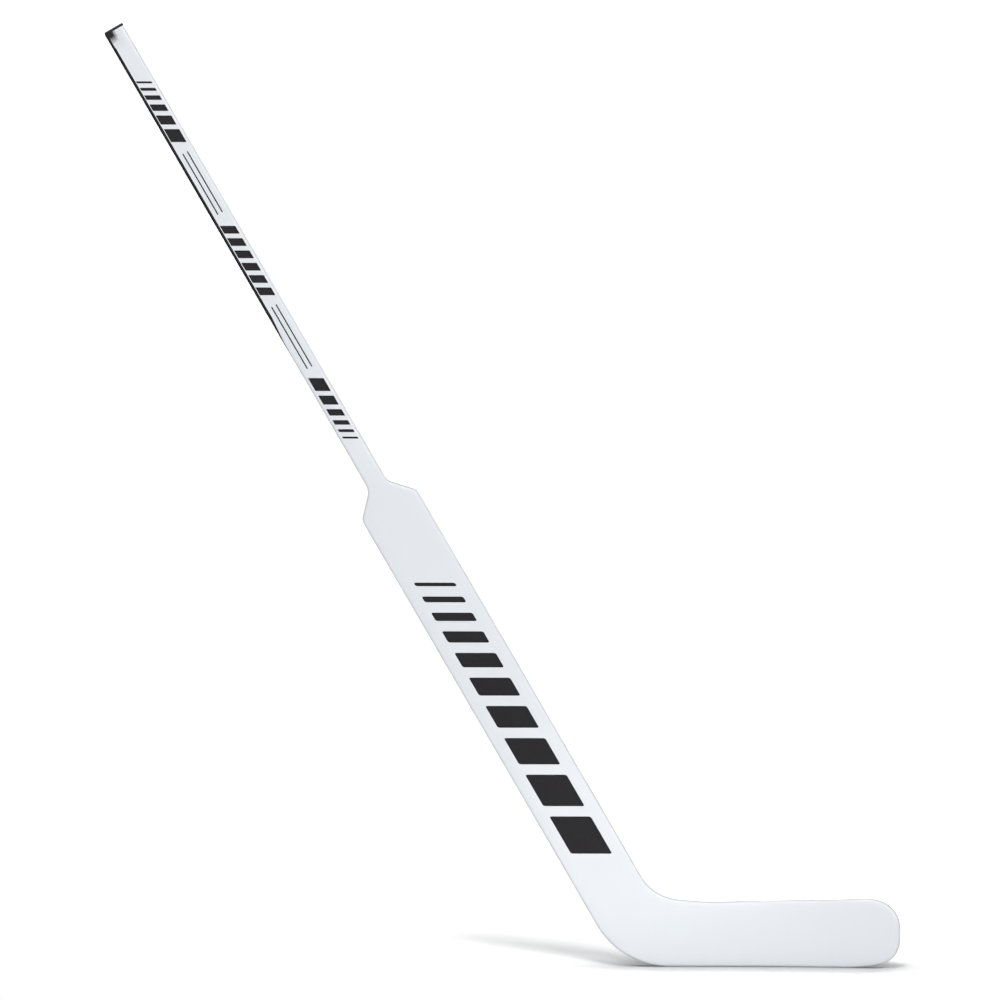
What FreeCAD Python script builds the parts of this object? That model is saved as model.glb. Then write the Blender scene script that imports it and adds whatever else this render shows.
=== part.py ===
import FreeCAD, Part

import math
import os
from FreeCAD import Vector

# Foam-core hockey goalie stick, standing on its blade.
# Row frame: +X towards the toe, +Z up from the ice, the front face looks along -Y.
# The origin is the middle of the flat sole. Lengths are in millimetres, angles in degrees.

# Shaft: its centre line rises from the ice at the lie angle, and heights are measured along that line
LIE_ANGLE = 60.0
STICK_LENGTH = 1453.0
SHAFT_WIDTH = 28.0
SHAFT_THICKNESS = 20.0

# Paddle: the wide lower half of the shaft, with sloping shoulders at the neck
NECK_HEIGHT = 748.0
SHOULDER_RUN = 30.0
NECK_RADIUS = 22.0
SHOULDER_RADIUS = 13.0
PADDLE_WIDTH = 84.5
PADDLE_SWELL = 1.2
SWELL_RUN = 70.0
SWELL_CLEARANCE = 14.0
HEEL_THICKNESS = 15.0

# Blade: flat at the heel, then thinner and curved to the front towards the toe.
# Crotch and toe are eased: a wide arc takes the first share of the turn, then the tight one follows
SOLE_LENGTH = 237.2
HEEL_RADIUS = 112.0
CROTCH_RADIUS = 66.0
CROTCH_EASE_RADIUS = 420.0
CROTCH_EASE_SHARE = 0.14
BLADE_HEIGHT = 85.6
TOE_HEIGHT = 94.0
TOE_RADIUS = 35.0
TOE_LIFT_RADIUS = 217.0
TOE_LIFT_SHARE = 0.13
TOE_TOP_RADIUS = 39.0
TOE_THICKNESS = 9.5
CURVE_RUN = 245.0
CURVE_DEPTH = 18.0

# Lay-up: face plies, edge strips and where the pieces meet
EDGE_RADIUS = 3.5
PLY = 1.0
STRIP_WIDTH = 6.0
HEEL_SEAM_HEIGHT = 150.0
SHOULDER_BLOCK_LENGTH = 62.0
RAIL_LAP = 15.0
CORE_END_HEIGHT = 55.0
BLADE_JOINT_OFFSET = 62.0

# Heel tongue: a bent plate, glued in the shaft's fork and in the blade's foam
TONGUE_THICKNESS = 4.0
TONGUE_TOP_HEIGHT = 190.0
TONGUE_WIDTH = 32.0
TONGUE_LIFT = 29.0
TONGUE_REACH = 80.0
TONGUE_TIP_TAPER = 8.0
TONGUE_BEND_RADIUS = 24.0

# Butt cap: a flange over the end of the shaft, with a spigot glued in a pocket
CAP_FLANGE = 3.0
CAP_CHAMFER = 1.0
SPIGOT_LENGTH = 16.0
SPIGOT_WIDTH = 17.0
SPIGOT_THICKNESS = 8.0
SPIGOT_RADIUS = 2.0
SPIGOT_CLEARANCE = 0.1

# Cuts run past the stick by this much
OVERRUN = 40.0

# Roundings take up at most this share of the run or wall that carries them
ROUNDING_LIMIT_SHARE = 0.98

# Directions along the shaft and across it, seen from the front
LIE = math.radians(LIE_ANGLE)
ALONG = Vector(-math.cos(LIE), 0, math.sin(LIE))
ACROSS = Vector(math.sin(LIE), 0, math.cos(LIE))
THROUGH = Vector(0, 1, 0)
UP = Vector(0, 0, 1)


def turn_arcs(bend, radius, ease_radius=0, ease_share=0):
    """Arcs (radius, start angle, end angle) round a bend: a wide one over its first share where it is eased,
    then the tight one."""
    arcs = [(ease_radius, 0, ease_share * bend), (radius, ease_share * bend, bend)]
    return [arc for arc in arcs if arc[0] > 0]


def turn_reaches(bend, arcs):
    """Reach of a turn before and after its corner: the arcs' way ahead and aside, split along both sides."""
    ahead = sum(radius * (math.sin(end) - math.sin(start)) for radius, start, end in arcs)
    aside = sum(radius * (math.cos(start) - math.cos(end)) for radius, start, end in arcs)
    after = aside / math.sin(bend)
    return ahead - after * math.cos(bend), after


# Places that follow from the sizes
HALF_SHAFT = SHAFT_WIDTH / 2
HALF_PADDLE = PADDLE_WIDTH / 2
HEEL_X = -SOLE_LENGTH / 2 - HEEL_RADIUS * math.tan(LIE / 2)
TOE_TURN = turn_arcs(math.pi / 2, TOE_RADIUS, TOE_LIFT_RADIUS, TOE_LIFT_SHARE)
TOE_X = SOLE_LENGTH / 2 + turn_reaches(math.pi / 2, TOE_TURN)[0]
FOOT = Vector(HEEL_X + HALF_PADDLE / math.sin(LIE), 0, 0)
SHOULDER_HEIGHT = NECK_HEIGHT - SHOULDER_RUN
BLOCK_END_HEIGHT = NECK_HEIGHT - SHOULDER_BLOCK_LENGTH
SWELL_END_HEIGHT = NECK_HEIGHT + SWELL_CLEARANCE
NECK_SEAM_HEIGHT = SWELL_END_HEIGHT + SWELL_RUN
WING_END_HEIGHT = HEEL_SEAM_HEIGHT - RAIL_LAP
BUTT_HEIGHT = STICK_LENGTH - CAP_FLANGE
CURVE_X = TOE_X - CURVE_RUN
HALF_DEPTH = SHAFT_THICKNESS + CURVE_DEPTH + OVERRUN
FAR = STICK_LENGTH + OVERRUN


def at(height, offset, depth=0.0):
    """Point at a height along the shaft's centre line, an offset across it and a depth towards the back."""
    return FOOT + ALONG * height + ACROSS * offset + THROUGH * depth


def height_along(point):
    """Height of a point along the shaft's centre line."""
    return (point - FOOT).dot(ALONG)


def height_of(level, offset):
    """Height along the shaft at which a line parallel to it, at an offset, reaches a level above the ice."""
    return (level - ACROSS.z * offset) / ALONG.z


def curve(*poles):
    """Bezier edge on its poles."""
    bezier = Part.BezierCurve()
    bezier.setPoles(list(poles))
    return bezier.toShape()


def line(start, end):
    """Straight edge."""
    return Part.LineSegment(start, end).toShape()


def rounded_wire(corners):
    """Closed wire through corners: a point and a radius, and for an eased turn a wide radius and its share.
    Where the turns at both ends of a side need more room than it has, they are drawn in alike."""
    points = [corner[0] for corner in corners]
    sides = [end - start for start, end in zip(points, points[1:] + points[:1])]
    bends = [sides[index - 1].getAngle(side) for index, side in enumerate(sides)]
    turns = [turn_arcs(bend, *corner[1:]) for bend, corner in zip(bends, corners)]
    reaches = [turn_reaches(bend, arcs) for bend, arcs in zip(bends, turns)]
    fills = [(near[1] + far[0]) / (ROUNDING_LIMIT_SHARE * side.Length)
             for side, near, far in zip(sides, reaches, reaches[1:] + reaches[:1])]
    edges, starts, ends = [], [], []
    for index, (point, side, arcs) in enumerate(zip(points, sides, turns)):
        draw_in = 1 / max(1, fills[index - 1], fills[index])
        ahead = Vector(sides[index - 1])
        ahead.normalize()
        aside = side - ahead * side.dot(ahead)
        aside.normalize()
        place = point - ahead * (reaches[index][0] * draw_in)
        starts.append(place)
        for radius, start, end in arcs:
            spokes = [(ahead * math.sin(angle) - aside * math.cos(angle)) * (radius * draw_in)
                      for angle in (start, (start + end) / 2, end)]
            middle = place - spokes[0]
            edges.append(Part.Arc(place, middle + spokes[1], middle + spokes[2]).toShape())
            place = middle + spokes[2]
        ends.append(place)
    edges += [line(end, start) for end, start in zip(ends, starts[1:] + starts[:1])]
    return Part.Wire(Part.__sortEdges__(edges))


def through_stick(wire, half_depth=HALF_DEPTH):
    """Prism on a front-view wire, as deep to the front as to the back."""
    prism = Part.Face(wire).extrude(THROUGH * (2 * half_depth))
    prism.translate(THROUGH * -half_depth)
    return prism


def slab(low, high, left, right):
    """Block through the stick between two heights along the shaft and two offsets across it."""
    corners = [at(low, left), at(high, left), at(high, right), at(low, right)]
    return through_stick(Part.makePolygon(corners + corners[:1]))


def outline():
    """Front view of the whole stick, run past the butt so that its end is cut square later."""
    crotch = at(height_of(BLADE_HEIGHT, HALF_PADDLE), HALF_PADDLE)
    return rounded_wire([
        (at(FAR, -HALF_SHAFT), 0),
        (at(NECK_HEIGHT, -HALF_SHAFT), NECK_RADIUS),
        (at(SHOULDER_HEIGHT, -HALF_PADDLE), SHOULDER_RADIUS),
        (Vector(HEEL_X, 0, 0), HEEL_RADIUS),
        (Vector(TOE_X, 0, 0), TOE_RADIUS, TOE_LIFT_RADIUS, TOE_LIFT_SHARE),
        (Vector(TOE_X, 0, TOE_HEIGHT), TOE_TOP_RADIUS),
        (crotch, CROTCH_RADIUS, CROTCH_EASE_RADIUS, CROTCH_EASE_SHARE),
        (at(SHOULDER_HEIGHT, HALF_PADDLE), SHOULDER_RADIUS),
        (at(NECK_HEIGHT, HALF_SHAFT), NECK_RADIUS),
        (at(FAR, HALF_SHAFT), 0),
    ])


def shaft_thickness(inset):
    """Shaft and paddle from the side: level shaft, swell to level shoulders, long taper to the heel seam."""
    shaft = SHAFT_THICKNESS / 2 - inset
    paddle = shaft + PADDLE_SWELL
    heel = HEEL_THICKNESS / 2 - inset
    swell_middle = (NECK_SEAM_HEIGHT + SWELL_END_HEIGHT) / 2
    taper_middle = (BLOCK_END_HEIGHT + HEEL_SEAM_HEIGHT) / 2

    def face(side):
        def point(height, half):
            return at(height, -FAR, side * half)
        return [
            line(point(FAR + OVERRUN, shaft), point(NECK_SEAM_HEIGHT, shaft)),
            curve(point(NECK_SEAM_HEIGHT, shaft), point(swell_middle, shaft),
                  point(swell_middle, paddle), point(SWELL_END_HEIGHT, paddle)),
            line(point(SWELL_END_HEIGHT, paddle), point(BLOCK_END_HEIGHT, paddle)),
            curve(point(BLOCK_END_HEIGHT, paddle), point(taper_middle, paddle),
                  point(taper_middle, heel), point(HEEL_SEAM_HEIGHT, heel)),
        ]

    ends = [line(at(height, -FAR, -half), at(height, -FAR, half))
            for height, half in ((FAR + OVERRUN, shaft), (HEEL_SEAM_HEIGHT, heel))]
    side_view = Part.Wire(Part.__sortEdges__(face(-1) + face(1) + ends))
    return Part.Face(side_view).extrude(ACROSS * (2 * FAR))


def blade_bend(start, drop):
    """Arc of one face of the blade from above: level where the curve starts, forward by a drop at the toe."""
    radius = (CURVE_RUN ** 2 + drop ** 2) / (2 * drop)
    run = CURVE_RUN + OVERRUN

    def point(reach):
        return Vector(CURVE_X + reach, start - radius + math.sqrt(radius ** 2 - reach ** 2), -FAR)

    return Part.Arc(point(0), point(run / 2), point(run)).toShape()


def blade_thickness(inset):
    """Heel and blade from above: level to the start of the curve, then two arcs that draw together."""
    heel = HEEL_THICKNESS / 2 - inset
    thinning = (HEEL_THICKNESS - TOE_THICKNESS) / 2
    faces = [blade_bend(side * heel, CURVE_DEPTH + side * thinning) for side in (-1, 1)]
    levels = [line(Vector(-FAR, side * heel, -FAR), Vector(CURVE_X, side * heel, -FAR)) for side in (-1, 1)]
    ends = [line(faces[0].Vertexes[-1].Point, faces[1].Vertexes[-1].Point),
            line(Vector(-FAR, -heel, -FAR), Vector(-FAR, heel, -FAR))]
    plan = Part.Wire(Part.__sortEdges__(faces + levels + ends))
    below_seam = slab(-FAR, HEEL_SEAM_HEIGHT, -FAR, FAR)
    return Part.Face(plan).extrude(UP * (2 * FAR)).common(below_seam)


def thickness(inset):
    """Body between the stick's two faces, each moved in by an inset."""
    return shaft_thickness(inset).fuse(blade_thickness(inset)).removeSplitter()


def faces_through(face, point):
    """Whether a face looks more to the front or the back than sideways at a point of it."""
    return abs(face.normalAt(*face.Surface.parameter(point)).dot(THROUGH)) > math.sqrt(0.5)


def rounded_stick(wire):
    """Whole stick as one form: the outline through the thickness, with both rims of its faces rounded."""
    form = through_stick(wire).common(thickness(0)).Solids[0]
    rim = []
    for edge in form.Edges:
        middle = edge.valueAt((edge.FirstParameter + edge.LastParameter) / 2)
        sides = [faces_through(face, middle) for face in form.ancestorsOfType(edge, Part.Face)]
        if any(sides) and not all(sides) and height_along(middle) < STICK_LENGTH:
            rim.append(edge)
    radius = min(EDGE_RADIUS, ROUNDING_LIMIT_SHARE * TOE_THICKNESS / 2)
    return form.makeFillet(radius, rim)


def tongue():
    """Bent plate along the shaft and on into the blade, with a tapered tip."""
    top_of_leg = TONGUE_LIFT + TONGUE_WIDTH
    tip_x = CURVE_X + TONGUE_REACH
    return through_stick(rounded_wire([
        (at(TONGUE_TOP_HEIGHT, -HALF_SHAFT), 0),
        (at(height_of(TONGUE_LIFT, -HALF_SHAFT), -HALF_SHAFT), TONGUE_BEND_RADIUS),
        (Vector(tip_x, 0, TONGUE_LIFT + TONGUE_TIP_TAPER), 0),
        (Vector(tip_x, 0, top_of_leg - TONGUE_TIP_TAPER), 0),
        (at(height_of(top_of_leg, HALF_SHAFT), HALF_SHAFT), TONGUE_BEND_RADIUS),
        (at(TONGUE_TOP_HEIGHT, HALF_SHAFT), 0),
    ]), TONGUE_THICKNESS / 2)


def spigot(clearance):
    """Plug under the cap, or with a clearance the pocket that takes it."""
    half_width = SPIGOT_WIDTH / 2 + clearance
    half_depth = SPIGOT_THICKNESS / 2 + clearance
    length = SPIGOT_LENGTH + clearance
    section = rounded_wire([(at(BUTT_HEIGHT - length, x * half_width, y * half_depth), SPIGOT_RADIUS)
                            for x, y in ((-1, -1), (1, -1), (1, 1), (-1, 1))])
    return Part.Face(section).extrude(ALONG * length)


def butt_cap(stick):
    """Flange with the shaft's own section and a chamfered outer edge, on its spigot."""
    flange = stick.common(slab(BUTT_HEIGHT, STICK_LENGTH, -FAR, FAR)).Solids[0]
    middle_height = BUTT_HEIGHT + CAP_FLANGE / 2
    outer = [edge for edge in flange.Edges
             if all(height_along(vertex.Point) > middle_height for vertex in edge.Vertexes)]
    return flange.makeChamfer(CAP_CHAMFER, outer).fuse(spigot(0)).removeSplitter()


def build():
    """All pieces by node name."""
    wire = outline()
    stick = rounded_stick(wire)
    below_cap = slab(-FAR, BUTT_HEIGHT, -FAR, FAR)
    body = stick.common(below_cap)
    inside_plies = thickness(PLY)
    core = body.common(inside_plies)
    front, back = sorted(body.cut(inside_plies).Solids, key=lambda solid: solid.CenterOfMass.y)
    inside_strips = through_stick(wire.makeOffset2D(-STRIP_WIDTH))
    plate = tongue()

    pieces = {}
    pieces["butt_cap"] = butt_cap(stick)

    # Face plies in three lengths, butted at the neck and above the heel
    shaft_part = slab(NECK_SEAM_HEIGHT, FAR, -FAR, FAR)
    paddle_part = slab(HEEL_SEAM_HEIGHT, NECK_SEAM_HEIGHT, -FAR, FAR)
    blade_part = slab(-FAR, HEEL_SEAM_HEIGHT, -FAR, FAR)
    for side, ply in (("front", front), ("back", back)):
        pieces["shaft_" + side + "_laminate"] = ply.common(shaft_part)
        pieces["paddle_" + side + "_skin"] = ply.common(paddle_part)
        pieces["blade_" + side + "_skin"] = ply.common(blade_part)

    # The shaft's bar runs from the butt down into the heel, where the tongue fills its fork
    bar = slab(CORE_END_HEIGHT, NECK_HEIGHT, -HALF_SHAFT, HALF_SHAFT).fuse(slab(NECK_HEIGHT, FAR, -FAR, FAR))
    pieces["shaft_core"] = core.common(bar).cut(plate).cut(spigot(SPIGOT_CLEARANCE))
    pieces["heel_tongue"] = core.common(plate)

    # Both sides of the paddle: shoulder block, foam wing and edge rail
    for side, left, right in (("heel_side", -FAR, -HALF_SHAFT), ("toe_side", HALF_SHAFT, FAR)):
        pieces["shoulder_block_" + side] = core.common(slab(BLOCK_END_HEIGHT, NECK_HEIGHT, left, right))
        wing = core.common(slab(WING_END_HEIGHT, BLOCK_END_HEIGHT, left, right))
        pieces["wing_foam_" + side] = wing.common(inside_strips)
        pieces["edge_rail_" + side] = wing.cut(inside_strips)

    # Heel and blade, inside the strips that edge them
    low_part = core.common(slab(-FAR, WING_END_HEIGHT, -FAR, FAR))
    filling = low_part.common(inside_strips)
    heel_part = slab(-FAR, FAR, -FAR, BLADE_JOINT_OFFSET)
    pieces["heel_block"] = filling.common(heel_part).cut(bar).cut(plate)
    pieces["blade_foam"] = filling.cut(heel_part).cut(plate)

    # Edge strips: round the heel, under the blade and up round the toe, and along crotch and upper edge
    edging = low_part.cut(inside_strips)
    heel_end = slab(-FAR, FAR, -FAR, HALF_SHAFT)
    upper_end = Part.makeBox(TOE_X - TOE_TOP_RADIUS + FAR, 2 * HALF_DEPTH, FAR,
                             Vector(-FAR, -HALF_DEPTH, BLADE_HEIGHT / 2))
    pieces["heel_strip"] = edging.common(heel_end)
    pieces["blade_top_strip"] = edging.cut(heel_end).common(upper_end)
    pieces["sole_strip"] = edging.cut(heel_end).cut(upper_end)
    return pieces


os.makedirs("parts", exist_ok=True)
for node, shape in build().items():
    print(node, len(shape.Solids), "solid,", round(shape.Volume), "mm3, valid", shape.isValid())
    shape.exportStep("parts/" + node + ".step")
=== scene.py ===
import math

import bpy
import numpy as np
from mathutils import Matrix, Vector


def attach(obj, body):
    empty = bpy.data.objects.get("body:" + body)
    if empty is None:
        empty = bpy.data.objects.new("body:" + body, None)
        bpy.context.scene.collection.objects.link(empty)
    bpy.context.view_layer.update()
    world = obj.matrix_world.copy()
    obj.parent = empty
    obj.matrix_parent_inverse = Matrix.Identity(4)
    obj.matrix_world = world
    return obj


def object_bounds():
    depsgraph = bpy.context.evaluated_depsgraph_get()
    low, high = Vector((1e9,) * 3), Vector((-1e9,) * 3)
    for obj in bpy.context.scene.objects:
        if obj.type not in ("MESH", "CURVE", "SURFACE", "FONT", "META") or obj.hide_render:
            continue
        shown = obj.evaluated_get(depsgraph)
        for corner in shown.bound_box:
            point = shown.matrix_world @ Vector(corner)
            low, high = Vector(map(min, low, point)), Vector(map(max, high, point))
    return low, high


# Foam-core hockey goalie stick, standing on its blade: +X towards the toe, +Z up from the ice,
# the front face looks along -Y. Everything is in metres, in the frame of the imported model.
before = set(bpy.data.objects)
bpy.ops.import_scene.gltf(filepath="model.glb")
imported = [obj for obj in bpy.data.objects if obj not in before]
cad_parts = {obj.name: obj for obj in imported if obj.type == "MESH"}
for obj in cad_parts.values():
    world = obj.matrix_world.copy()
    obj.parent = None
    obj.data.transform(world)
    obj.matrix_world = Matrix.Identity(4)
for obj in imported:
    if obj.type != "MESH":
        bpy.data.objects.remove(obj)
cad_low, cad_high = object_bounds()


# Shaft bar: one length of aspen from the butt down into the heel, planed thinner down the paddle
# and forked for the heel tongue. It is glued under the plies and painted over.

MM = 0.001
LIE = math.radians(60)
ASPEN_PALE = "#E6D6B4"
ASPEN_DARK = "#C9B083"
ASPEN_FIBRE = 1.5 * MM
FIBRE_RUN = 60 * MM
FIBRE_RELIEF = 0.1 * MM


def linear(code):
    """Linear RGBA of an sRGB hex code: c / 12.92 below 0.04045, else ((c + 0.055) / 1.055) ^ 2.4."""
    channels = np.array([int(code[i:i + 2], 16) for i in (1, 3, 5)]) / 255
    return (*np.where(channels < 0.04045, channels / 12.92, ((channels + 0.055) / 1.055) ** 2.4), 1)


def add_node(tree, kind, inputs=(), **settings):
    """Adds a shader node. Settings are its properties, inputs its sockets, by name or number, with their
    values or the outputs that are linked to them."""
    node = tree.nodes.new("ShaderNode" + kind)
    for name, value in settings.items():
        setattr(node, name, value)
    for socket, value in dict(inputs).items():
        if isinstance(value, bpy.types.NodeSocket):
            tree.links.new(value, node.inputs[socket])
        else:
            node.inputs[socket].default_value = value
    return node


def empty_material(name):
    """A material with nothing in its node tree yet, and that tree."""
    material = bpy.data.materials.new(name)
    material.use_nodes = True
    material.node_tree.nodes.clear()
    return material, material.node_tree


def dress(material, *names):
    """Gives CAD nodes a material in place of the packer's."""
    for name in names:
        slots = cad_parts[name].data.materials
        slots.clear()
        slots.append(material)


# Planed aspen: pale and dull, with fine darker fibres that run up the shaft
aspen, tree = empty_material("planed_aspen")
place = add_node(tree, "TexCoord")
upright = add_node(tree, "Mapping", {
    "Vector": place.outputs["Object"], "Rotation": (0, math.pi / 2 - LIE, 0)})
stretched = add_node(tree, "Mapping", {
    "Vector": upright.outputs[0], "Scale": (1 / ASPEN_FIBRE, 1 / ASPEN_FIBRE, 1 / FIBRE_RUN)})
fibres = add_node(tree, "TexNoise", {"Vector": stretched.outputs[0], "Scale": 1, "Detail": 4})
tone = add_node(tree, "Mix", {
    6: linear(ASPEN_PALE), 7: linear(ASPEN_DARK), 0: fibres.outputs[0]}, data_type="RGBA")
relief = add_node(tree, "Bump", {"Height": fibres.outputs[0], "Strength": 0.2, "Distance": FIBRE_RELIEF})
wood = add_node(tree, "BsdfPrincipled", {
    "Base Color": tone.outputs[2], "Roughness": 0.6, "Normal": relief.outputs[0]})
add_node(tree, "OutputMaterial", {"Surface": wood.outputs[0]})
dress(aspen, "shaft_core")


# Shoulder and heel blocks: birch blocks that carry the paddle's shoulders and the turn of the heel.
# They are sawn along the shaft, glued to the bar and shaped with it.

BIRCH_PALE = "#DDC08E"
BIRCH_DARK = "#B48D58"
BIRCH_STRIPE = 5 * MM
BIRCH_RIPPLE = 2.5

# Sawn birch: warmer and closer than aspen, with pale and dark stripes of the growth rings
birch, tree = empty_material("sawn_birch")
place = add_node(tree, "TexCoord")
upright = add_node(tree, "Mapping", {
    "Vector": place.outputs["Object"], "Rotation": (0, math.pi / 2 - LIE, 0)})
stretched = add_node(tree, "Mapping", {
    "Vector": upright.outputs[0], "Scale": (1 / BIRCH_STRIPE, 1 / BIRCH_STRIPE, 1 / FIBRE_RUN)})
rings = add_node(tree, "TexWave", {
    "Vector": stretched.outputs[0], "Scale": 1 / math.tau, "Distortion": BIRCH_RIPPLE, "Detail": 3})
tone = add_node(tree, "Mix", {
    6: linear(BIRCH_PALE), 7: linear(BIRCH_DARK), 0: rings.outputs[1]}, data_type="RGBA")
relief = add_node(tree, "Bump", {"Height": rings.outputs[1], "Strength": 0.2, "Distance": FIBRE_RELIEF})
wood = add_node(tree, "BsdfPrincipled", {
    "Base Color": tone.outputs[2], "Roughness": 0.55, "Normal": relief.outputs[0]})
add_node(tree, "OutputMaterial", {"Surface": wood.outputs[0]})
dress(birch, "shoulder_block_heel_side", "shoulder_block_toe_side", "heel_block")


# Heel tongue: a plywood plate sawn to a bend, glued in the bar's fork and in the blade's foam.
# It is the joint between paddle and blade, five veneers through its 4 mm.

VENEER = 0.8 * MM
VENEER_DRIFT = 40 * MM
WAVE_PERIOD = math.tau / 20
VENEER_PALE = "#E2C795"
VENEER_DARK = "#A67C4A"

# Birch plywood: pale veneers with dark glue lines between them, seen on the sawn edge. A wave texture repeats
# every WAVE_PERIOD of its coordinate, here once for each veneer.
plywood, tree = empty_material("birch_plywood")
place = add_node(tree, "TexCoord")
across_plate = add_node(tree, "Mapping", {
    "Vector": place.outputs["Object"], "Scale": (1 / VENEER_DRIFT, WAVE_PERIOD / VENEER, 1 / VENEER_DRIFT)})
layers = add_node(tree, "TexWave", {
    "Vector": across_plate.outputs[0], "Scale": 1, "Distortion": 0.4}, bands_direction="Y")
tone = add_node(tree, "Mix", {
    6: linear(VENEER_DARK), 7: linear(VENEER_PALE), 0: layers.outputs[1]}, data_type="RGBA")
wood = add_node(tree, "BsdfPrincipled", {"Base Color": tone.outputs[2], "Roughness": 0.6})
add_node(tree, "OutputMaterial", {"Surface": wood.outputs[0]})
dress(plywood, "heel_tongue")


# Foam cores: rigid polyurethane foam that widens the paddle on both sides of the bar and fills the blade.
# It is cut from sheet, so its faces show cut cells; the plies are glued straight on it.

FOAM_PALE = "#E9DFBE"
FOAM_SHADE = "#CDBE93"
FOAM_CELL = 1.2 * MM
FOAM_PIT = 0.3 * MM

# Cut rigid foam: dull cream with open cells about a millimetre across
foam, tree = empty_material("cut_rigid_foam")
place = add_node(tree, "TexCoord")
cells = add_node(tree, "TexVoronoi", {"Vector": place.outputs["Object"], "Scale": 1 / FOAM_CELL})
tone = add_node(tree, "Mix", {
    6: linear(FOAM_SHADE), 7: linear(FOAM_PALE), 0: cells.outputs[0]}, data_type="RGBA")
pits = add_node(tree, "Bump", {"Height": cells.outputs[0], "Strength": 0.6, "Distance": FOAM_PIT})
body = add_node(tree, "BsdfPrincipled", {
    "Base Color": tone.outputs[2], "Roughness": 0.9, "Normal": pits.outputs[0]})
add_node(tree, "OutputMaterial", {"Surface": body.outputs[0]})
dress(foam, "wing_foam_heel_side", "wing_foam_toe_side", "blade_foam")


# Edge strips: ABS strips that edge the paddle, the heel, the blade's sole and toe and its upper edge.
# They are bent round the core, glued and planed flush before the plies go on.

STRIP_WHITE = "#E4E6E3"
STRIP_DULL = "#D3D6D2"
PLANE_MARK = 3 * MM

# Planed ABS: off-white and half dull, with faint marks of the plane
strip, tree = empty_material("planed_white_abs")
place = add_node(tree, "TexCoord")
marks = add_node(tree, "TexNoise", {"Vector": place.outputs["Object"], "Scale": 1 / PLANE_MARK, "Detail": 3})
tone = add_node(tree, "Mix", {
    6: linear(STRIP_WHITE), 7: linear(STRIP_DULL), 0: marks.outputs[0]}, data_type="RGBA")
body = add_node(tree, "BsdfPrincipled", {"Base Color": tone.outputs[2], "Roughness": 0.45, "IOR": 1.53})
add_node(tree, "OutputMaterial", {"Surface": body.outputs[0]})
dress(strip, "edge_rail_heel_side", "edge_rail_toe_side", "heel_strip", "sole_strip", "blade_top_strip")


# Face plies: glass cloth in resin, pressed on both faces of the stick in three lengths,
# butted at the neck and above the heel. Sanded before paint.

PLY_PALE = "#DFE3DA"
PLY_DARK = "#C3CABB"
ROVING = 2.5 * MM
WEAVE_RELIEF = 0.05 * MM

# Glass-fibre laminate: greenish white, the plain weave of the cloth just shows through the resin
glass_ply, tree = empty_material("glass_fibre_laminate")
place = add_node(tree, "TexCoord")
upright = add_node(tree, "Mapping", {
    "Vector": place.outputs["Object"], "Rotation": (0, math.pi / 2 - LIE, 0), "Scale": (1 / ROVING,) * 3})
cloth = add_node(tree, "TexChecker", {
    "Vector": upright.outputs[0], "Scale": 1, "Color1": linear(PLY_PALE), "Color2": linear(PLY_DARK)})
weave = add_node(tree, "Bump", {"Height": cloth.outputs[1], "Strength": 0.15, "Distance": WEAVE_RELIEF})
body = add_node(tree, "BsdfPrincipled", {
    "Base Color": cloth.outputs[0], "Roughness": 0.4, "IOR": 1.55, "Normal": weave.outputs[0]})
add_node(tree, "OutputMaterial", {"Surface": body.outputs[0]})
dress(glass_ply, "shaft_front_laminate", "shaft_back_laminate", "paddle_front_skin", "paddle_back_skin",
      "blade_front_skin", "blade_back_skin")


# Butt cap: a black moulded cap over the end of the shaft, glued by a spigot in a pocket of the bar.
# Spark-eroded mould, so its skin has a fine dull grain.

CAP_BLACK = "#0C0B0E"
CAP_WORN = "#19181C"
CAP_GRAIN = 0.6 * MM
CAP_RELIEF = 0.05 * MM
CAP_RUB = 6 * MM

# Moulded black ABS: near black, satin, slightly greyer where hands rub it, with a fine grain that is drawn
# coarser than the mould's so that it shows
cap, tree = empty_material("moulded_black_abs")
place = add_node(tree, "TexCoord")
skin = add_node(tree, "TexNoise", {"Vector": place.outputs["Object"], "Scale": 1 / CAP_GRAIN, "Detail": 2})
rubbed = add_node(tree, "TexNoise", {"Vector": place.outputs["Object"], "Scale": 1 / CAP_RUB, "Detail": 2})
tone = add_node(tree, "Mix", {
    6: linear(CAP_BLACK), 7: linear(CAP_WORN), 0: rubbed.outputs[0]}, data_type="RGBA")
relief = add_node(tree, "Bump", {"Height": skin.outputs[0], "Strength": 0.25, "Distance": CAP_RELIEF})
body = add_node(tree, "BsdfPrincipled", {
    "Base Color": tone.outputs[2], "Roughness": 0.5, "Specular IOR Level": 0.15, "Normal": relief.outputs[0]})
add_node(tree, "OutputMaterial", {"Surface": body.outputs[0]})
dress(cap, "butt_cap")


# Paint coat: filler, white paint and clear lacquer sprayed over the whole stick below the cap, 0.2 mm in all.
# It hides every seam of the lay-up, so paddle, heel and blade run into each other as one surface.

COAT = 0.2 * MM
EDGE_ROUND = 3.5 * MM
BUTT_HEIGHT = 1450 * MM
NECK_HEIGHT = 748 * MM
SHOULDER_HEIGHT = 718 * MM
HALF_SHAFT = 14 * MM
HALF_PADDLE = 42.25 * MM
NECK_TURN = 22 * MM
SHOULDER_TURN = 13 * MM
HEEL_TURN = 112 * MM
CROTCH_TURN = 66 * MM
CROTCH_EASE = 420 * MM
CROTCH_TIGHT_SHARE = 0.86
TOE_LIFT = 217 * MM
TOE_LIFT_SHARE = 0.13
TOE_TURN = 35 * MM
TOE_TOP_TURN = 39 * MM
TOE_TOP_SHARE = 0.5
HALF_SOLE = 118.6 * MM
HEEL_X = -HALF_SOLE - HEEL_TURN * math.tan(LIE / 2)
SHAFT_FOOT = HEEL_X + HALF_PADDLE / math.sin(LIE)
TOE_X = cad_high[0]
TOE_HEIGHT = 94 * MM
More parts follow.
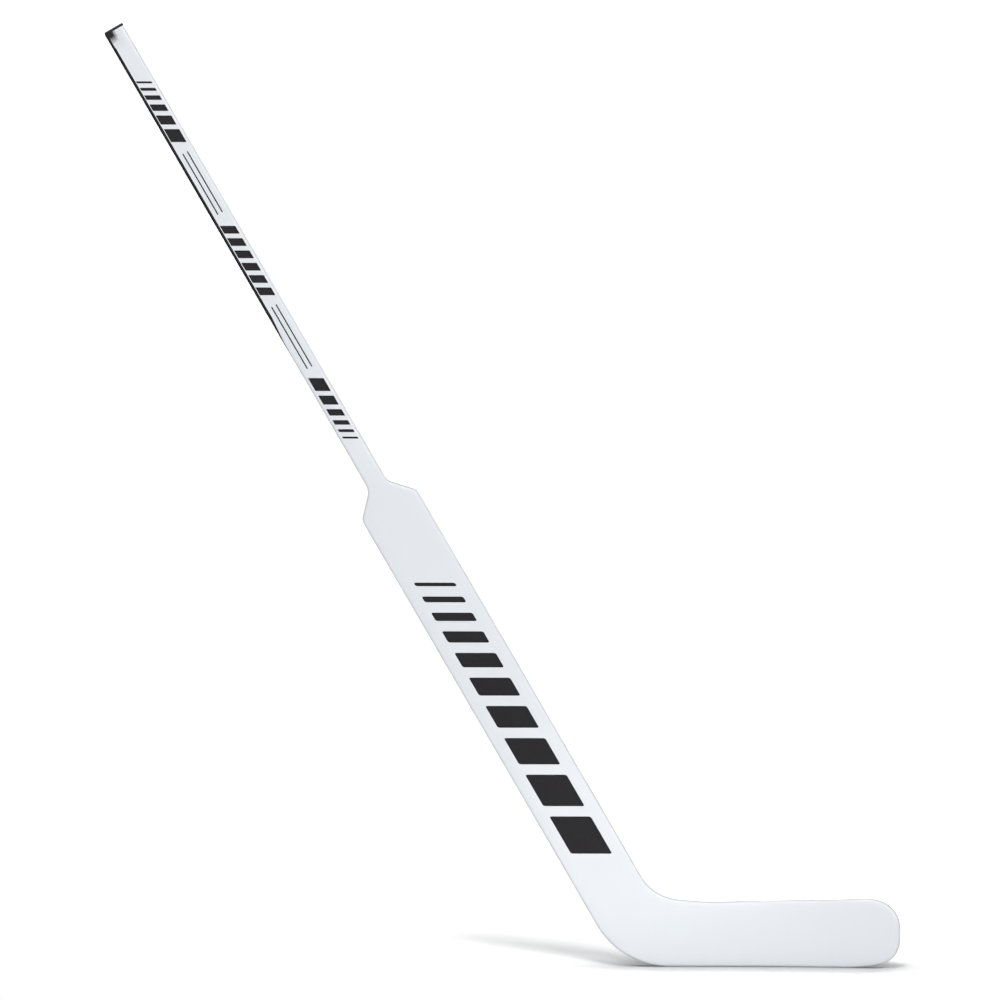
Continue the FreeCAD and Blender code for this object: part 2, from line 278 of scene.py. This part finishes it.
BLADE_HEIGHT = 85.6 * MM
# Grid rows along each straight run and round each turn, from butt to toe. A face has as many columns as both
# edges have rows on the toe's straight, so that its last row meets the rim there point by point.
RUN_ROWS = (150, 8, 90, 0, 60, 0, 4)
TURN_ROWS = (12, 10, 28, 8, 16, 20)
FACE_COLUMNS = 2 * RUN_ROWS[-1] + 1
RIM_ROWS = 8
EASE_STEPS = 40
WELD_DIGITS = 7
SHARP_EDGE = math.radians(40)
# Stretches where the thickness changes: the heights of their two ends, and half the thickness there
SWELL = ((832 * MM, 762 * MM), (10 * MM, 11.2 * MM))
TAPER = ((686 * MM, 150 * MM), (11.2 * MM, 7.5 * MM))
CURVE_RUN = 245 * MM
CURVE_X = TOE_X - CURVE_RUN
FRONT_DROP = 15.25 * MM
BACK_DROP = 20.75 * MM
PAINT_WHITE = "#E1E9EC"
PAINT_SHADE = "#E4E4EB"
PEEL = 2.2 * MM
PEEL_RELIEF = 0.1 * MM
CLOUD = 160 * MM


def on_stick(height, offset):
    """Front-view place (x, z) at a height up the shaft's centre line and an offset across it."""
    x = SHAFT_FOOT - np.cos(LIE) * height + np.sin(LIE) * offset
    return np.stack([x, np.sin(LIE) * height + np.cos(LIE) * offset], -1)


def cut_corner(before, corner, after, turns, share):
    """Two corners for one, so that a turn takes the first share of its bend on one radius and the rest on
    another: the cut between them is as long as both arcs' reaches r tan(t / 2), and its ends follow from the
    sine rule."""
    before, corner, after = np.array(before), np.array(corner), np.array(after)
    ahead = (corner - before) / np.linalg.norm(corner - before)
    onward = (after - corner) / np.linalg.norm(after - corner)
    bend = np.arccos(ahead @ onward)
    parts = bend * np.array([share, 1 - share])
    cut = np.array(turns) @ np.tan(parts / 2)
    ends = cut * np.sin(parts[::-1]) / np.sin(bend)
    return corner - ends[0] * ahead, corner + ends[1] * onward


def edge_line(corners, turns, outward):
    """One edge of the front view from butt to toe tip: straight runs between corners, each turned by an arc
    that touches both runs, start + r sin(t) ahead + r (1 - cos(t)) aside. Returns the points and, from the
    heading turned by a quarter to one side, the directions out of the stick."""
    corners = np.array(corners)
    runs = np.diff(corners, axis=0)
    headings = np.arctan2(runs[:, 1], runs[:, 0])
    bends = np.append(np.diff(headings), 0)
    turns = np.append(turns, 0)
    reaches = turns * np.tan(np.abs(bends) / 2)
    points, ways, start = [], [], corners[0]
    for run, (heading, bend, turn, reach) in enumerate(zip(headings, bends, turns, reaches)):
        ahead = np.array([np.cos(heading), np.sin(heading)])
        aside = np.array([-np.sin(heading), np.cos(heading)]) * np.sign(bend)
        end = corners[run + 1] - reach * ahead
        share = np.arange(RUN_ROWS[run])[:, None] / max(RUN_ROWS[run], 1)
        points.append(start + share * (end - start))
        ways.append(np.full(RUN_ROWS[run], heading))
        start = end
        if turn:
            angle = np.arange(TURN_ROWS[run])[:, None] / TURN_ROWS[run] * abs(bend)
            points.append(end + turn * (np.sin(angle) * ahead + (1 - np.cos(angle)) * aside))
            ways.append(heading + np.sign(bend) * angle[:, 0])
            start = corners[run + 1] + reach * np.array([np.cos(heading + bend), np.sin(heading + bend)])
    points.append(corners[-1:])
    ways.append(headings[-1:])
    way = np.concatenate(ways)
    return np.concatenate(points), outward * np.stack([-np.sin(way), np.cos(way)], -1)


def face_depth(place, side):
    """Depth of the front (side -1) or back (side 1) face at front-view places: half the thickness, which runs
    level, then in S curves 3t^2 - 2t^3 over 1.5t - 1.5t^2 + t^3 of each stretch, less the blade's forward
    bend, the drop R - sqrt(R^2 - reach^2) of an arc that starts level at the heel."""
    share = np.linspace(1, 0, EASE_STEPS)
    rise = 3 * share ** 2 - 2 * share ** 3
    way = 1.5 * share - 1.5 * share ** 2 + share ** 3
    heights, halves = [np.concatenate([ends[0] + (ends[1] - ends[0]) * part for ends in pair])
                       for part, pair in ((way, (TAPER[0], SWELL[0])), (rise, (TAPER[1], SWELL[1])))]
    height = np.sin(LIE) * place[..., 1] - np.cos(LIE) * (place[..., 0] - SHAFT_FOOT)
    drop = FRONT_DROP if side < 0 else BACK_DROP
    radius = (CURVE_RUN ** 2 + drop ** 2) / (2 * drop)
    reach = np.maximum(place[..., 0] - CURVE_X, 0)
    return side * np.interp(height, heights, halves) - radius + np.sqrt(radius ** 2 - reach ** 2)


def add_piece(name, points, faces, material):
    """Mesh object at the origin from points and faces: same points are welded, loose ones dropped, faces
    smooth except across sharp edges."""
    points, number = np.unique(np.round(points, WELD_DIGITS), axis=0, return_inverse=True)
    faces = [number.ravel()[face] for face in faces]
    used, number = np.unique(np.concatenate(faces), return_inverse=True)
    ends = np.cumsum([len(face) for face in faces])
    mesh = bpy.data.meshes.new(name)
    corners = np.split(number.ravel(), ends[:-1])
    mesh.from_pydata(points[used].tolist(), [], [corner.tolist() for corner in corners])
    mesh.polygons.foreach_set("use_smooth", np.ones(len(faces), bool))
    mesh.set_sharp_from_angle(angle=SHARP_EDGE)
    mesh.materials.append(material)
    piece = bpy.data.objects.new(name, mesh)
    bpy.context.scene.collection.objects.link(piece)
    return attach(piece, "root")


def painted_skin():
    """Closed skin round the whole stick, a grid of stations from butt to toe by columns round the section:
    rows ruled between the two edges across each face, and quarter rounds about the rim, all COAT outside the
    solids. Turns of one radius are cut in two as well, so that both edges' stations stay side by side."""
    crotch_height = (BLADE_HEIGHT - np.cos(LIE) * HALF_PADDLE) / np.sin(LIE)
    crotch = on_stick(crotch_height, HALF_PADDLE)
    shoulders = [on_stick(SHOULDER_HEIGHT, offset) for offset in (-HALF_PADDLE, HALF_PADDLE)]
    heel_turns, crotch_turns = (HEEL_TURN, HEEL_TURN), (CROTCH_TURN, CROTCH_EASE)
    toe_turns, top_turns = (TOE_LIFT, TOE_TURN), (TOE_TOP_TURN, TOE_TOP_TURN)
    heel_cut = cut_corner(shoulders[0], (HEEL_X, 0), (TOE_X, 0), heel_turns, CROTCH_TIGHT_SHARE)
    toe_cut = cut_corner((HEEL_X, 0), (TOE_X, 0), (TOE_X, TOE_HEIGHT), toe_turns, TOE_LIFT_SHARE)
    crotch_cut = cut_corner(shoulders[1], crotch, (TOE_X, TOE_HEIGHT), crotch_turns, CROTCH_TIGHT_SHARE)
    top_cut = cut_corner(crotch, (TOE_X, TOE_HEIGHT), (TOE_X, 0), top_turns, TOE_TOP_SHARE)
    # Both edges end at the middle of the toe's straight
    top_bend = math.pi / 2 + np.arctan2(TOE_HEIGHT - BLADE_HEIGHT, TOE_X - crotch[0])
    toe_end = toe_cut[1][1] + TOE_TURN * np.tan((1 - TOE_LIFT_SHARE) * math.pi / 4)
    tip = (TOE_X, (toe_end + TOE_HEIGHT - TOE_TOP_TURN * np.tan(top_bend / 2)) / 2)
    heel, heel_out = edge_line(
        [on_stick(BUTT_HEIGHT, -HALF_SHAFT), on_stick(NECK_HEIGHT, -HALF_SHAFT), shoulders[0],
         *heel_cut, *toe_cut, tip],
        [NECK_TURN, SHOULDER_TURN, *heel_turns, *toe_turns], -1)
    toe, toe_out = edge_line(
        [on_stick(BUTT_HEIGHT, HALF_SHAFT), on_stick(NECK_HEIGHT, HALF_SHAFT), shoulders[1],
         *crotch_cut, *top_cut, tip],
        [NECK_TURN, SHOULDER_TURN, *crotch_turns, *top_turns], 1)
    heel_in, toe_in = heel - EDGE_ROUND * heel_out, toe - EDGE_ROUND * toe_out
    across = np.linspace(0, 1, FACE_COLUMNS)[:, None]
    face = heel_in[:, None] * (1 - across) + toe_in[:, None] * across
    angle = np.arange(RIM_ROWS)[:, None] / RIM_ROWS * math.pi / 2
    reach = EDGE_ROUND + COAT

    def rim(edge_in, out, side):
        """Quarter round from the side to a face: reach cos(t) outwards, reach sin(t) towards the face."""
        flat = edge_in[:, None] + reach * np.cos(angle) * out[:, None]
        depth = face_depth(edge_in, side)[:, None] + side * (reach * np.sin(angle[:, 0]) - EDGE_ROUND)
        return np.stack([flat[..., 0], depth, flat[..., 1]], -1)

    def sheet(side):
        """One face between the two rims, COAT proud of the solids."""
        return np.stack([face[..., 0], face_depth(face, side) + side * COAT, face[..., 1]], -1)

    grid = np.concatenate([
        sheet(-1), rim(toe_in, toe_out, -1)[:, ::-1], rim(toe_in, toe_out, 1),
        sheet(1)[:, ::-1], rim(heel_in, heel_out, 1)[:, ::-1], rim(heel_in, heel_out, -1)], axis=1)
    stations, columns = grid.shape[:2]
    number = np.arange(stations * columns).reshape(stations, columns)
    ahead = np.roll(number, -1, axis=1)
    quads = np.stack([number[:-1], number[1:], ahead[1:], ahead[:-1]], -1)
    back_start = FACE_COLUMNS + 2 * RIM_ROWS
    on_face = np.zeros(columns, bool)
    on_face[:FACE_COLUMNS - 1] = True
    on_face[back_start:back_start + FACE_COLUMNS - 1] = True
    # On the toe's straight the faces have no width left, so only the rim goes on
    past_turn = np.arange(stations - 1) >= stations - 1 - RUN_ROWS[-1]
    quads = quads[~(past_turn[:, None] & on_face)]
    return grid.reshape(-1, 3), [*quads, number[0]]


# Sprayed white paint under clear lacquer: cool white, glossy, with the lacquer's faint orange peel
white_paint, tree = empty_material("white_paint_clear_lacquer")
place = add_node(tree, "TexCoord")
clouds = add_node(tree, "TexNoise", {"Vector": place.outputs["Object"], "Scale": 1 / CLOUD, "Detail": 2})
tone = add_node(tree, "Mix", {
    6: linear(PAINT_WHITE), 7: linear(PAINT_SHADE), 0: clouds.outputs[0]}, data_type="RGBA")
peel = add_node(tree, "TexNoise", {"Vector": place.outputs["Object"], "Scale": 1 / PEEL, "Detail": 1})
relief = add_node(tree, "Bump", {"Height": peel.outputs[0], "Strength": 0.04, "Distance": PEEL_RELIEF})
body = add_node(tree, "BsdfPrincipled", {
    "Base Color": tone.outputs[2], "Roughness": 0.38, "Coat Weight": 0.5, "Coat Roughness": 0.08,
    "Normal": relief.outputs[0], "Coat Normal": relief.outputs[0]})
add_node(tree, "OutputMaterial", {"Surface": body.outputs[0]})
add_piece("paint_coat", *painted_skin(), white_paint)


# Black side: the shaft's heel-side edge is sprayed black from the butt to a long point above the neck.
# The black reaches round both corners, as far as the masking tape let it.

FILM = 0.06 * MM
SIDE_END = 925 * MM
SIDE_POINT = 90 * MM
SIDE_REACH = 13 * MM
SIDE_TIP = 0.2 * MM
SIDE_ROWS = 40
SIDE_COLUMNS = 25
HALF_THICKNESS = 10 * MM
PAINT_BLACK = "#0C0B0E"
PAINT_SMOKE = "#151418"
SMOKE_CLOUD = 40 * MM


def closed_film(top, foot):
    """Thin closed film between two grids of points: both grids as sheets, and walls round their rim."""
    rows, columns = top.shape[:2]
    number = np.arange(rows * columns).reshape(rows, columns)
    quads = np.stack([number[:-1, :-1], number[1:, :-1], number[1:, 1:], number[:-1, 1:]], -1).reshape(-1, 4)
    rim = np.concatenate([number[0, :-1], number[:-1, -1], number[-1, :0:-1], number[:0:-1, 0]])
    ahead = np.roll(rim, -1)
    walls = np.stack([rim, ahead, ahead + number.size, rim + number.size], -1)
    points = np.concatenate([top.reshape(-1, 3), foot.reshape(-1, 3)])
    return points, np.concatenate([quads, quads[:, ::-1] + number.size, walls])


def side_band(lift):
    """Band round the heel-side edge: rows up the shaft by columns along the section's arc, which is level to
    the rounding and then turns by arc / radius about its middle. Its half width shrinks to a blunt tip as the
    square root of the way into the point."""
    height = np.concatenate([
        np.linspace(BUTT_HEIGHT, SIDE_END + SIDE_POINT, SIDE_ROWS)[:-1],
        SIDE_END + SIDE_POINT * np.linspace(1, 0, SIDE_ROWS) ** 2])[:, None]
    width = SIDE_REACH * np.clip((height - SIDE_END) / SIDE_POINT, 0, 1) ** 0.5
    arc = np.maximum(width, SIDE_TIP) * np.linspace(1, -1, SIDE_COLUMNS)
    level = HALF_THICKNESS - EDGE_ROUND
    reach = EDGE_ROUND + lift
    turn = np.maximum(np.abs(arc) - level, 0) / reach
    offset = -HALF_SHAFT + EDGE_ROUND - reach * np.cos(turn)
    depth = np.clip(arc, -level, level) + np.sign(arc) * reach * np.sin(turn)
    flat = on_stick(np.broadcast_to(height, arc.shape), offset)
    return np.stack([flat[..., 0], depth, flat[..., 1]], -1)


# Sprayed black paint under clear lacquer: the same gloss as the white, near black with a violet cast
black_paint, tree = empty_material("black_paint_clear_lacquer")
place = add_node(tree, "TexCoord")
clouds = add_node(tree, "TexNoise", {
    "Vector": place.outputs["Object"], "Scale": 1 / SMOKE_CLOUD, "Detail": 2})
tone = add_node(tree, "Mix", {
    6: linear(PAINT_BLACK), 7: linear(PAINT_SMOKE), 0: clouds.outputs[0]}, data_type="RGBA")
peel = add_node(tree, "TexNoise", {"Vector": place.outputs["Object"], "Scale": 1 / PEEL, "Detail": 1})
relief = add_node(tree, "Bump", {"Height": peel.outputs[0], "Strength": 0.04, "Distance": PEEL_RELIEF})
body = add_node(tree, "BsdfPrincipled", {
    "Base Color": tone.outputs[2], "Roughness": 0.4, "Specular IOR Level": 0.15, "Normal": relief.outputs[0]})
add_node(tree, "OutputMaterial", {"Surface": body.outputs[0]})
side_film = closed_film(side_band(COAT + FILM), side_band(COAT / 2))
add_piece("black_side_paint", *side_film, black_paint)


# Paddle print: a ladder of black bars down the middle of the paddle, screen-printed before the lacquer.
# The bars are cut level with the ice and thin out towards the neck; the back carries the same print.

BAND = 48 * MM
BAR_LOW = 176 * MM
BAR_TALL = (58 * MM, 49 * MM, 41 * MM, 34 * MM, 28 * MM, 22.5 * MM, 17.5 * MM, 13 * MM, 9 * MM, 5.5 * MM)
BAR_GAP = 16 * MM
BAR_CORNER = 2.5 * MM
CORNER_ROWS = 7
BAR_ROWS = 12
BAR_COLUMNS = 9
LEVEL_SLANT = 1 / math.tan(LIE)
INK_BLACK = "#131116"
INK_SMOKE = "#1B191E"
INK_MOTTLE = 6 * MM
INK_RELIEF = 0.1 * MM


def bar(low, high, left, right, corner, slant):
    """Grid of heights and offsets over a bar with rounded corners: rows from low to high, whose ends draw in
    by corner (1 - cos(t)) as they near the bar's ends by corner (1 - sin(t)), then leaned by slant across."""
    angle = np.linspace(0, math.pi / 2, CORNER_ROWS)
    draw = corner * (1 - np.cos(angle))
    near = corner * (1 - np.sin(angle))
    middle = np.linspace(low + corner, high - corner, BAR_ROWS)[1:-1]
    height = np.concatenate([low + near[::-1], middle, high - near])[:, None]
    inset = np.concatenate([draw[::-1], 0 * middle, draw])[:, None]
    share = np.linspace(0, 1, BAR_COLUMNS)
    offset = (left + inset) * (1 - share) + (right - inset) * share
    return height - slant * (offset - (left + right) / 2), offset


def face_film(bars, side):
    """Closed films printed on one face: each bar's grid laid on the face, FILM proud of the coat."""
    points, faces, count = [], [], 0
    for height, offset in bars:
        flat = on_stick(height, offset)
        top, foot = [np.stack([flat[..., 0], face_depth(flat, side) + side * lift, flat[..., 1]], -1)
                     for lift in (COAT + FILM, COAT / 2)]
        film_points, film_faces = closed_film(top, foot)
        points.append(film_points)
        faces.append((film_faces[:, ::-1] if side < 0 else film_faces) + count)
        count += len(film_points)
    return np.concatenate(points), np.concatenate(faces)


# Screen-printed black ink under clear lacquer: even near black, a little flatter than the sprayed side
black_ink, tree = empty_material("black_ink_clear_lacquer")
place = add_node(tree, "TexCoord")
mottle = add_node(tree, "TexNoise", {"Vector": place.outputs["Object"], "Scale": 1 / INK_MOTTLE, "Detail": 3})
tone = add_node(tree, "Mix", {
    6: linear(INK_BLACK), 7: linear(INK_SMOKE), 0: mottle.outputs[0]}, data_type="RGBA")
relief = add_node(tree, "Bump", {"Height": mottle.outputs[0], "Strength": 0.03, "Distance": INK_RELIEF})
body = add_node(tree, "BsdfPrincipled", {
    "Base Color": tone.outputs[2], "Roughness": 0.5, "Specular IOR Level": 0.12, "Normal": relief.outputs[0]})
add_node(tree, "OutputMaterial", {"Surface": body.outputs[0]})

bar_tall = np.array(BAR_TALL)
bar_low = BAR_LOW + np.concatenate([[0], np.cumsum(bar_tall + BAR_GAP)[:-1]])
ladder = [bar(low, low + tall, -BAND / 2, BAND / 2, BAR_CORNER, LEVEL_SLANT)
          for low, tall in zip(bar_low, bar_tall)]
for name, side in (("paddle_print_front", -1), ("paddle_print_back", 1)):
    add_piece(name, *face_film(ladder, side), black_ink)


# Shaft print: two pairs of pinstripes up the shaft between slanted slices, in the same ink.
# Slices thin out towards the butt and towards the neck; the back carries the same print.

SLICE_HALF = 9 * MM
SLICE_CORNER = 0.8 * MM
SLICE_TALL = (20 * MM, 14 * MM, 10 * MM, 7 * MM, 4.5 * MM, 3 * MM)
SLICE_GAP = 7 * MM
UPPER_SLICE_LOW = 1278 * MM
LOWER_SLICE_HIGH = 914 * MM
MIDDLE_SLICE_LOW = 1042 * MM
MIDDLE_SLICE_TALL = 12 * MM
MIDDLE_SLICE_STEP = 19 * MM
MIDDLE_SLICES = 6
PIN_WIDE = 1.7 * MM
PIN_ROUND = 0.49 * PIN_WIDE
PIN_GAP = 3.4 * MM
UPPER_PINS = (1168 * MM, 1262 * MM)
LOWER_PINS = (930 * MM, 1026 * MM)


def slices(starts, talls):
    """Slices across the shaft at given heights."""
    return [bar(low, low + tall, -SLICE_HALF, SLICE_HALF, SLICE_CORNER, LEVEL_SLANT)
            for low, tall in zip(starts, talls)]


def pinstripes(low, high):
    """A pair of fine lines with round ends, side by side up the shaft."""
    return [bar(low, high, middle - PIN_WIDE / 2, middle + PIN_WIDE / 2, PIN_ROUND, 0)
            for middle in (-PIN_GAP, PIN_GAP)]


slice_tall = np.array(SLICE_TALL)
slice_start = np.concatenate([[0], np.cumsum(slice_tall + SLICE_GAP)[:-1]])
middle_low = MIDDLE_SLICE_LOW + np.arange(MIDDLE_SLICES) * MIDDLE_SLICE_STEP
shaft_print = [
    *slices(UPPER_SLICE_LOW + slice_start, slice_tall),
    *pinstripes(*UPPER_PINS),
    *slices(middle_low, np.full(MIDDLE_SLICES, MIDDLE_SLICE_TALL)),
    *pinstripes(*LOWER_PINS),
    *slices(LOWER_SLICE_HIGH - slice_start - slice_tall, slice_tall),
]
for name, side in (("shaft_print_front", -1), ("shaft_print_back", 1)):
    add_piece(name, *face_film(shaft_print, side), black_ink)


# Painted butt reflection: a painted dark reflection on the heel-side corner of the front, by the cap.
# Solid there, it thins out into the white within about a centimetre.

REFLECTION_TALL = 22 * MM
REFLECTION_RIGHT = 5 * MM
REFLECTION_DARK = (6 * MM, 16 * MM)
REFLECTION_SIDE = (-4 * MM, 1 * MM)
SPECK = 1.2 * MM
SPECK_SPREAD = 5 * MM
# White round it, a little lighter than the paint: painted sheen for the lacquer this film lacks
REFLECTION_WHITE = "#E5E8ED"

# Painted dark reflection on white: solid by the cap, breaking up into fine specks at its edge
reflection_paint, tree = empty_material("painted_dark_reflection_on_white")
place = add_node(tree, "TexCoord")
upright = add_node(tree, "Mapping", {
    "Vector": place.outputs["Object"], "Rotation": (0, math.pi / 2 - LIE, 0),
    "Location": (-np.sin(LIE) * SHAFT_FOOT, 0, np.cos(LIE) * SHAFT_FOOT)})
specks = add_node(tree, "TexNoise", {"Vector": place.outputs["Object"], "Scale": 1 / SPECK, "Detail": 2})
spread = add_node(tree, "MapRange", {
    "Value": specks.outputs[0], "To Min": -SPECK_SPREAD / 2, "To Max": SPECK_SPREAD / 2})
split = add_node(tree, "SeparateXYZ", {0: upright.outputs[0]})
below_cap = add_node(tree, "Math", {0: spread.outputs[0], 1: split.outputs["Z"]}, operation="ADD")
aside = add_node(tree, "Math", {0: split.outputs["X"], 1: spread.outputs[0]}, operation="SUBTRACT")
fade_down = add_node(tree, "MapRange", {
    "Value": below_cap.outputs[0],
    "From Min": BUTT_HEIGHT - REFLECTION_DARK[1], "From Max": BUTT_HEIGHT - REFLECTION_DARK[0]})
fade_aside = add_node(tree, "MapRange", {
    "Value": aside.outputs[0], "From Min": REFLECTION_SIDE[1], "From Max": REFLECTION_SIDE[0]})
cover = add_node(tree, "Math", {0: fade_down.outputs[0], 1: fade_aside.outputs[0]}, operation="MULTIPLY")
tone = add_node(tree, "Mix", {
    6: linear(REFLECTION_WHITE), 7: linear(PAINT_BLACK), 0: cover.outputs[0]}, data_type="RGBA")
body = add_node(tree, "BsdfPrincipled", {
    "Base Color": tone.outputs[2], "Roughness": 0.5, "Specular IOR Level": 0.15})
add_node(tree, "OutputMaterial", {"Surface": body.outputs[0]})
# The painted dark reflection lies as a film on the front, from the cap down
reflection_patch = [bar(BUTT_HEIGHT - REFLECTION_TALL, BUTT_HEIGHT, EDGE_ROUND - HALF_SHAFT, REFLECTION_RIGHT, FILM, 0)]
add_piece("painted_butt_reflection", *face_film(reflection_patch, -1), reflection_paint)


# Studio: a white floor that keeps the stick's shadow, a wide soft lamp in front, one above, one behind that
# throws no shadow, a small one low down for the heel, and a dim room. The camera stands square to the front
# face and a little above it, far off with a long lens.

FLOOR_HALF = 60.0
FLOOR_GREY = 0.85
# How white the floor shows at the two ends of FLOOR_FADE: painted lighter further back, to fade the shadow
# out
FLOOR_SEEN = (2.46, 3.25)
FLOOR_FADE = (50 * MM, 420 * MM)
# Painted contact shade on the floor: how far it looks for the stick, the openness it fades over, its darkest
# level
CONTACT_REACH = 90 * MM
CONTACT_OPEN = (0.63, 0.92)
CONTACT_SHADE = 0.18
ROOM_LIGHT = 0.06
# Each lamp's rise, turn and spread in degrees, its strength, and whether it throws a shadow
LAMPS = {
    "front_lamp": (2, 7, 40, 3.16, True),
    "upper_lamp": (62, -16, 13, 0.68, True),
    "back_lamp": (3, 180, 40, 1.9, False),
}
HEEL_LAMP = (-0.165, -0.55, 0.1)
HEEL_LAMP_SIZE = 0.3
HEEL_LAMP_WATTS = 0.36
LENS = 539.7
CAMERA_RISE = math.radians(6.5)
CAMERA_ROLL = math.radians(-0.095)
CAMERA_AWAY = 20
CAMERA_REACH = 200
AIM = (-0.34946, 0, 0.62732)


def shown(tree):
    """Shader value that is 1 for rays that show a surface to the eye, straight, in gloss or through glass,
    the sum of the three clamped, and 0 for rays that gather light."""
    path = add_node(tree, "LightPath")
    shiny = add_node(tree, "Math", {
        0: path.outputs["Is Glossy Ray"], 1: path.outputs["Is Transmission Ray"]}, operation="ADD")
    return add_node(tree, "Math", {
        0: path.outputs["Is Camera Ray"], 1: shiny.outputs[0]}, operation="ADD", use_clamp=True).outputs[0]


floor_mesh = bpy.data.meshes.new("floor")
floor_corner = FLOOR_HALF * np.array([(-1, -1), (1, -1), (1, 1), (-1, 1)])
floor_mesh.from_pydata([(x, y, -COAT) for x, y in floor_corner], [], [(0, 1, 2, 3)])
floor = bpy.data.objects.new("floor", floor_mesh)
bpy.context.scene.collection.objects.link(floor)

# White studio paper: brighter to the eye and in reflections than in the light it throws back, with painted
# contact shade where the stick closes in on it, and painted lighter further back to fade the shadow out
paper, tree = empty_material("white_studio_paper")
# Painted contact shade: the floor's colour darkens where the stick hides its sky
open_sky = add_node(tree, "AmbientOcclusion", {"Distance": CONTACT_REACH}, samples=4)
painted_contact_shade = add_node(tree, "MapRange", {
    "Value": open_sky.outputs["AO"], "From Min": CONTACT_OPEN[0], "From Max": CONTACT_OPEN[1],
    "To Min": CONTACT_SHADE, "To Max": 1})
place = add_node(tree, "TexCoord")
depth = add_node(tree, "SeparateXYZ", {0: place.outputs["Object"]})
# Painted lighter further back, so that the shadow fades out
painted_shadow_fade = add_node(tree, "MapRange", {
    "Value": depth.outputs["Y"], "From Min": FLOOR_FADE[0], "From Max": FLOOR_FADE[1],
    "To Min": FLOOR_SEEN[0], "To Max": FLOOR_SEEN[1]})
white = add_node(tree, "MapRange", {
    "Value": shown(tree), "To Min": FLOOR_GREY, "To Max": painted_shadow_fade.outputs[0]})
level = add_node(tree, "Math", {0: white.outputs[0], 1: painted_contact_shade.outputs[0]}, operation="MULTIPLY")
dull = add_node(tree, "BsdfDiffuse", {"Color": level.outputs[0]})
add_node(tree, "OutputMaterial", {"Surface": dull.outputs[0]})
floor_mesh.materials.append(paper)

world = bpy.data.worlds.new("pale_room")
bpy.context.scene.world = world
world.use_nodes = True
tree = world.node_tree
tree.nodes.clear()
level = add_node(tree, "MapRange", {"Value": shown(tree), "To Min": ROOM_LIGHT, "To Max": 1})
room = add_node(tree, "Background", {"Color": (1, 1, 1, 1), "Strength": level.outputs[0]})
add_node(tree, "OutputWorld", {"Surface": room.outputs[0]})

for name, (rise, turn, spread, strength, shadow) in LAMPS.items():
    lamp_data = bpy.data.lights.new(name, "SUN")
    lamp_data.angle = math.radians(spread)
    lamp_data.energy = strength
    lamp_data.use_shadow = shadow
    lamp = bpy.data.objects.new(name, lamp_data)
    lamp.rotation_euler = (math.pi / 2 - math.radians(rise), 0, math.radians(turn))
    bpy.context.scene.collection.objects.link(lamp)

heel_light = bpy.data.lights.new("heel_lamp", "AREA")
heel_light.size = HEEL_LAMP_SIZE
heel_light.energy = HEEL_LAMP_WATTS
heel_lamp = bpy.data.objects.new("heel_lamp", heel_light)
heel_lamp.location = HEEL_LAMP
heel_lamp.rotation_euler = (math.pi / 2, 0, 0)
bpy.context.scene.collection.objects.link(heel_lamp)

camera_data = bpy.data.cameras.new("camera")
camera_data.lens = LENS
camera_data.clip_end = CAMERA_REACH
camera = bpy.data.objects.new("camera", camera_data)
camera.location = np.array(AIM) + CAMERA_AWAY * np.array([0, -math.cos(CAMERA_RISE), math.sin(CAMERA_RISE)])
camera.rotation_euler = (math.pi / 2 - CAMERA_RISE, CAMERA_ROLL, 0)
bpy.context.scene.collection.objects.link(camera)
bpy.context.scene.camera = camera
bpy.context.scene.view_settings.view_transform = "Standard"
